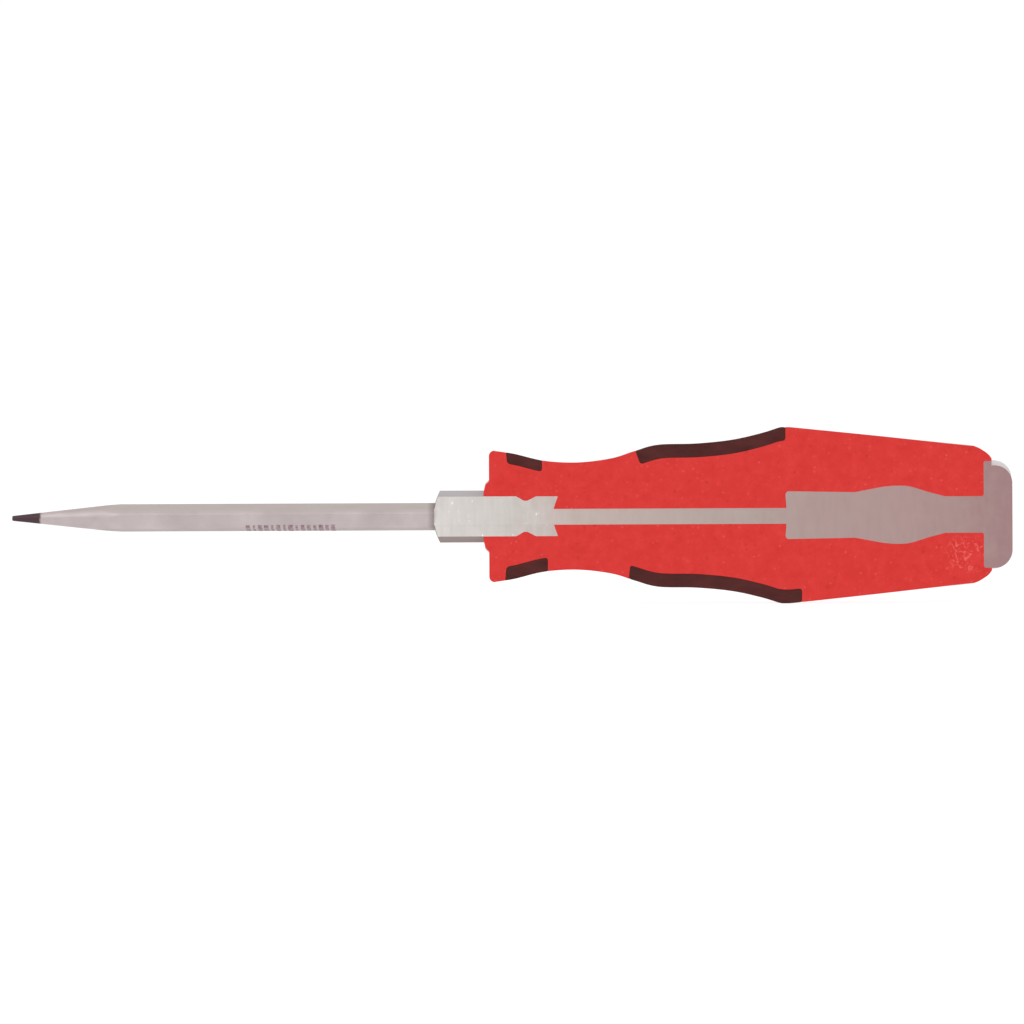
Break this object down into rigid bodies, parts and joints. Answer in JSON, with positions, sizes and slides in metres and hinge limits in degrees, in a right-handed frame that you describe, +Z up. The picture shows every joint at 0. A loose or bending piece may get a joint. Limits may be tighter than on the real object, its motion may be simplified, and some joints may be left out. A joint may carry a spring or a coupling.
{
  "type": "scratch awl",
  "caption": "Scratch awl as a lengthwise section model: hexagonal steel bar with a ground point, bolster, anchor and striking cap in a two-material handle.",
  "frame": {"origin": "centre of the cap's striking face, on the tool's axis", "axes": "+X along the tool's axis from the point to the striking cap, +Z up across the section, and the section face looks along -Y"},
  "size_m": [0.2375, 0.0263, 0.0418],
  "materials": {
    "bar_steel": "ground and satin-plated hexagonal bar, black-finished point",
    "bolster_steel": "satin-plated outside, bright milled section",
    "anchor_steel": "milled section",
    "cap_steel": "satin-plated outside, milled section",
    "handle_plastic": "moulded outside, milled section with fine specks",
    "grip_rubber": "fine matt moulded grip"
  },
  "bodies": {
    "root": {"awl_bar": "bar_steel", "hex_bolster": "bolster_steel", "tang_anchor": "anchor_steel", "strike_cap": "cap_steel", "handle_core": "handle_plastic", "rear_pad_top": "grip_rubber", "rear_pad_upper_back": "grip_rubber", "rear_pad_lower_back": "grip_rubber", "rear_pad_bottom": "grip_rubber", "front_pad_top": "grip_rubber", "front_pad_upper_back": "grip_rubber", "front_pad_lower_back": "grip_rubber", "front_pad_bottom": "grip_rubber"}
  },
  "joints": []
}
